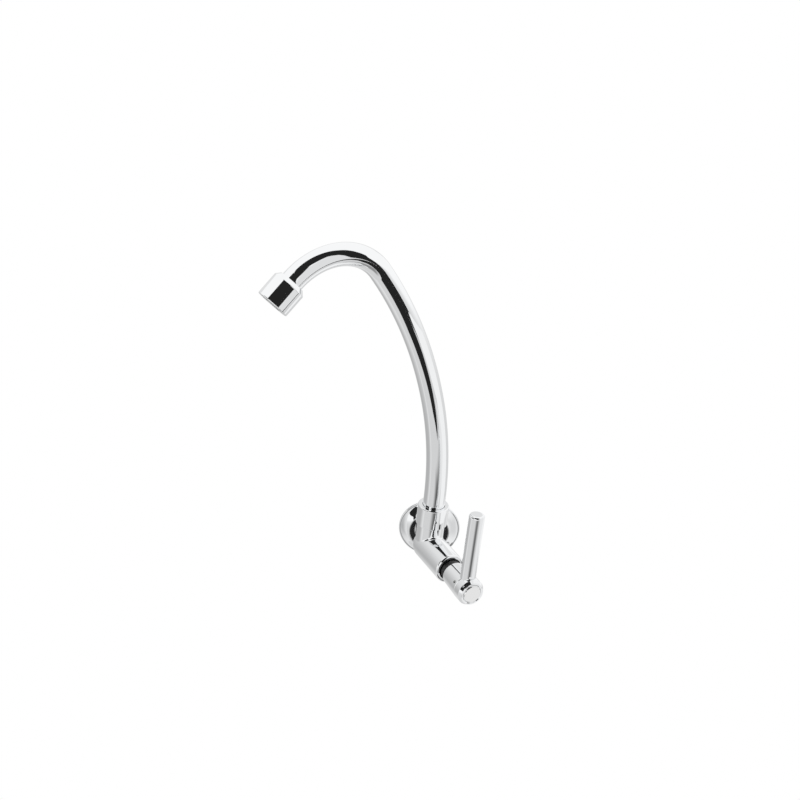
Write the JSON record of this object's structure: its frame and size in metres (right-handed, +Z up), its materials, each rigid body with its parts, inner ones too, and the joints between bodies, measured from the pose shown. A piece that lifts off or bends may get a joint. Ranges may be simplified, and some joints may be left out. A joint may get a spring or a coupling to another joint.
{
  "type": "wall-mounted kitchen tap",
  "caption": "Wall-mounted kitchen tap: tall swivelling swan-neck spout with an aerator, a quarter-turn lever valve turned to one side, and a round wall flange.",
  "frame": {"origin": "on the inlet's axis, in the plane of the finished wall", "axes": "+Z up the column, -Y out of the wall towards the user, +X to the user's right"},
  "size_m": [0.2151, 0.1763, 0.3429],
  "materials": {
    "chromed_casting": "polished chrome plate on cast brass",
    "chromed_pressing": "polished chrome plate on pressed sheet",
    "chromed_tube": "polished chrome plate on brass tube and bar",
    "chromed_cap": "bright chromed plastic, bare face",
    "turned_brass": "turned and bare",
    "plated_steel": "zinc plated",
    "spring_steel": "bright spring wire and strip",
    "steel_mesh": "woven stainless mesh",
    "white_ceramic": "ground and lapped alumina",
    "black_rubber": "moulded, matt",
    "fibre_washer": "pressed fibre",
    "black_acetal": "turned acetal, satin black",
    "white_acetal": "moulded acetal, satin white"
  },
  "bodies": {
    "body": {"tap_body": "chromed_casting", "wall_flange": "chromed_pressing", "headwork_body": "turned_brass", "seat_seal": "black_rubber", "fixed_disc": "white_ceramic", "headwork_washer": "fibre_washer", "gap_ring": "black_acetal", "thrust_washer": "white_acetal"},
    "handle": {"moving_disc": "white_ceramic", "spindle": "turned_brass", "spindle_ring": "black_rubber", "spindle_clip": "spring_steel", "handle_hub": "chromed_casting", "handle_screw": "plated_steel", "grub_screw": "plated_steel", "trim_ring": "chromed_pressing", "index_cap": "chromed_cap", "lever": "chromed_tube", "lever_stud": "plated_steel"},
    "spout": {"spout_tube": "chromed_tube", "spout_spigot": "turned_brass", "spout_ring_lower": "black_rubber", "spout_ring_upper": "black_rubber", "snap_ring": "spring_steel", "outlet_adapter": "turned_brass", "outlet_housing": "chromed_casting", "sealing_ring": "black_rubber", "aerator_insert": "white_acetal", "aerator_screen": "steel_mesh"}
  },
  "joints": [
    {"name": "handle_turn", "type": "hinge", "parent": "body", "child": "handle", "pos_m": [0, -0.03, 0], "axis": [0.4848, -0.8746, 0], "range_deg": [0, 90]},
    {"name": "spout_swivel", "type": "hinge", "parent": "body", "child": "spout", "pos_m": [0, -0.03, 0.04], "axis": [0, 0, 1], "range_deg": [-32, 138]}
  ]
}
